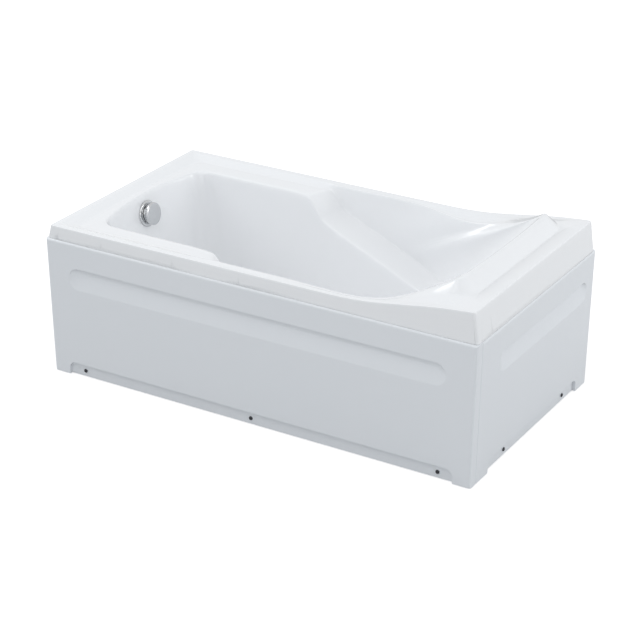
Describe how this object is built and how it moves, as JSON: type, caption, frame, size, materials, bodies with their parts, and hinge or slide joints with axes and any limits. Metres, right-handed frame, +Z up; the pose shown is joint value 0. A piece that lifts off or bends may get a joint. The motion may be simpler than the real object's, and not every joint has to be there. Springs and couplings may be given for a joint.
{
  "type": "skirted acrylic bathtub",
  "caption": "Acrylic bathtub with a moulded front skirt and end skirt, arm ledges, sloping back with headrest, pop-up waste, turn knob on the overflow and a levelled steel frame.",
  "frame": {"origin": "centre of the outer box's bottom face, on the floor under the feet", "axes": "+X from the foot end with the knob to the head end with the end skirt, +Y from the front skirt to the back wall, +Z up"},
  "size_m": [1.518, 0.8, 0.597],
  "materials": {
    "acrylic": "polished white acrylic, glass fibre layer underneath",
    "skirt_plastic": "white moulded sheet, glossy",
    "chrome": "polished chrome plate",
    "fastener_steel": "zinc-plated steel",
    "frame_steel": "grey painted square tube",
    "board_wood": "bare plywood",
    "foot_plastic": "black moulded plastic",
    "waste_plastic": "white polypropylene",
    "seal_rubber": "soft black rubber",
    "stem_brass": "turned brass",
    "cable_sheath": "black plastic sheath"
  },
  "bodies": {
    "bath": {"tub_shell": "acrylic", "front_skirt": "skirt_plastic", "end_skirt": "skirt_plastic", "overflow_rosette": "chrome", "waste_flange": "chrome", "skirt_screws": "fastener_steel", "skirt_cup_washers": "fastener_steel", "skirt_clip_nuts": "fastener_steel", "board_screws": "fastener_steel", "foot_weld_nuts": "fastener_steel", "foot_lock_nuts": "fastener_steel", "lever_pin": "fastener_steel", "bottom_rail_front": "frame_steel", "bottom_rail_back": "frame_steel", "rim_rail_front": "frame_steel", "rim_rail_back": "frame_steel", "bottom_bar_foot": "frame_steel", "bottom_bar_head": "frame_steel", "rim_bar_foot": "frame_steel", "rim_bar_head": "frame_steel", "cross_bar_foot": "frame_steel", "cross_bar_middle": "frame_steel", "cross_bar_back": "frame_steel", "cross_bar_head": "frame_steel", "upright_front_foot": "frame_steel", "upright_front_middle": "frame_steel", "upright_front_head": "frame_steel", "upright_back_foot": "frame_steel", "upright_back_middle": "frame_steel", "upright_back_head": "frame_steel", "skirt_brackets": "frame_steel", "skirt_clips": "frame_steel", "base_board": "board_wood", "rim_packers": "board_wood", "waste_body": "waste_plastic", "overflow_body": "waste_plastic", "overflow_pipe": "waste_plastic", "slip_nuts": "waste_plastic", "overflow_gasket": "seal_rubber", "waste_gasket": "seal_rubber", "waste_body_gasket": "seal_rubber", "control_cable": "cable_sheath"},
    "knob": {"overflow_knob": "chrome", "overflow_spindle": "fastener_steel", "cable_drum": "waste_plastic"},
    "plug": {"waste_plug": "chrome", "plug_seal": "seal_rubber", "plug_stem": "stem_brass"},
    "lever": {"lift_lever": "waste_plastic"},
    "pad_front_left": {"foot_pad_front_left": "foot_plastic"},
    "rod_front_left": {"foot_rod_front_left": "fastener_steel"},
    "pad_back_left": {"foot_pad_back_left": "foot_plastic"},
    "rod_back_left": {"foot_rod_back_left": "fastener_steel"},
    "pad_front_right": {"foot_pad_front_right": "foot_plastic"},
    "rod_front_right": {"foot_rod_front_right": "fastener_steel"},
    "pad_back_right": {"foot_pad_back_right": "foot_plastic"},
    "rod_back_right": {"foot_rod_back_right": "fastener_steel"},
    "pad_centre": {"foot_pad_centre": "foot_plastic"},
    "rod_centre": {"foot_rod_centre": "fastener_steel"}
  },
  "joints": [
    {"name": "knob_turn", "type": "hinge", "parent": "bath", "child": "knob", "pos_m": [-0.65565, 0, 0.424], "axis": [0.986, 0, 0.167], "range_deg": [0, 90]},
    {"name": "plug_lift", "type": "slide", "parent": "bath", "child": "plug", "axis": [0, 0, 1], "range_m": [0, 0.0121]},
    {"name": "lever_tilt", "type": "hinge", "parent": "bath", "child": "lever", "pos_m": [-0.466, 0, 0.076], "axis": [0, -1, 0], "range_deg": [0, 44.5]},
    {"name": "pad_slide_front_left", "type": "slide", "parent": "bath", "child": "pad_front_left", "axis": [0, 0, 1], "range_m": [-0.012, 0.008]},
    {"name": "rod_turn_front_left", "type": "hinge", "parent": "pad_front_left", "child": "rod_front_left", "pos_m": [-0.54, -0.32, 0.05], "axis": [0, 0, 1], "range_deg": [-2904, 1944]},
    {"name": "pad_slide_back_left", "type": "slide", "parent": "bath", "child": "pad_back_left", "axis": [0, 0, 1], "range_m": [-0.012, 0.008]},
    {"name": "rod_turn_back_left", "type": "hinge", "parent": "pad_back_left", "child": "rod_back_left", "pos_m": [-0.54, 0.32, 0.05], "axis": [0, 0, 1], "range_deg": [-2904, 1944]},
    {"name": "pad_slide_front_right", "type": "slide", "parent": "bath", "child": "pad_front_right", "axis": [0, 0, 1], "range_m": [-0.012, 0.008]},
    {"name": "rod_turn_front_right", "type": "hinge", "parent": "pad_front_right", "child": "rod_front_right", "pos_m": [0.56, -0.32, 0.05], "axis": [0, 0, 1], "range_deg": [-2904, 1944]},
    {"name": "pad_slide_back_right", "type": "slide", "parent": "bath", "child": "pad_back_right", "axis": [0, 0, 1], "range_m": [-0.012, 0.008]},
    {"name": "rod_turn_back_right", "type": "hinge", "parent": "pad_back_right", "child": "rod_back_right", "pos_m": [0.56, 0.32, 0.05], "axis": [0, 0, 1], "range_deg": [-2904, 1944]},
    {"name": "pad_slide_centre", "type": "slide", "parent": "bath", "child": "pad_centre", "axis": [0, 0, 1], "range_m": [-0.012, 0.008]},
    {"name": "rod_turn_centre", "type": "hinge", "parent": "pad_centre", "child": "rod_centre", "pos_m": [-0.13, 0, 0.05], "axis": [0, 0, 1], "range_deg": [-2904, 1944]}
  ],
  "couplings": [
    {"joint": "plug_lift", "follows": "knob_turn", "m_per_rad": 0.0076394},
    {"joint": "lever_tilt", "follows": "knob_turn", "ratio": 0.48889},
    {"joint": "rod_turn_front_left", "follows": "pad_slide_front_left", "rad_per_m": 4188.8},
    {"joint": "rod_turn_back_left", "follows": "pad_slide_back_left", "rad_per_m": 4188.8},
    {"joint": "rod_turn_front_right", "follows": "pad_slide_front_right", "rad_per_m": 4188.8},
    {"joint": "rod_turn_back_right", "follows": "pad_slide_back_right", "rad_per_m": 4188.8},
    {"joint": "rod_turn_centre", "follows": "pad_slide_centre", "rad_per_m": 4188.8}
  ]
}
